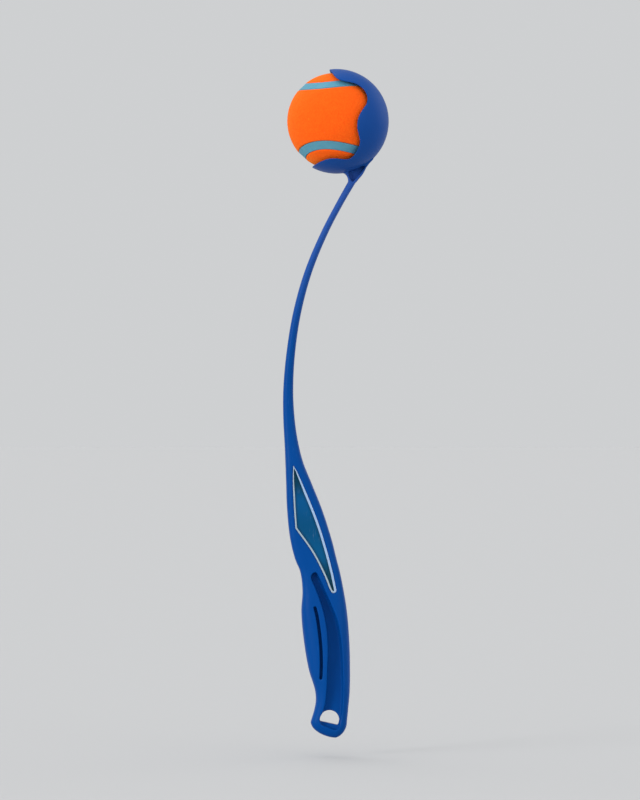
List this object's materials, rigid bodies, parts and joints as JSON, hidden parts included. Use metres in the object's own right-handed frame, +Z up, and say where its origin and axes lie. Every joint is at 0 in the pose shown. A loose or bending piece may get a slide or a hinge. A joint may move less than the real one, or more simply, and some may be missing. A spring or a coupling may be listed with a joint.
{
  "type": "dog ball thrower",
  "caption": "Hand-held dog ball thrower: a curved moulded wand with a contoured grip, a hang hole and a snap cup that holds a felt ball.",
  "frame": {"origin": "centre of the hand grip, in the handle's plane of symmetry", "axes": "+Z up the wand from the grip to the cup, +Y from the near label to the far label, +X towards the back of the handle, the side that the cup's closed back faces"},
  "size_m": [0.0723, 0.0658, 0.4572],
  "materials": {
    "wand_plastic": "satin",
    "label_film": "gloss",
    "ball_felt": "matte",
    "ball_seam": "matte",
    "ball_core": "matte"
  },
  "bodies": {
    "wand": {"wand": "wand_plastic", "label_near": "label_film", "label_far": "label_film"},
    "ball": {"core_half_a": "ball_core", "core_half_b": "ball_core", "felt_panel_a": "ball_felt", "felt_panel_b": "ball_felt", "seam_band": "ball_seam"}
  },
  "joints": [
    {"name": "ball_release", "type": "slide", "parent": "wand", "child": "ball", "axis": [-0.9842, 0, 0.1771], "range_m": [0, 0.08]}
  ]
}
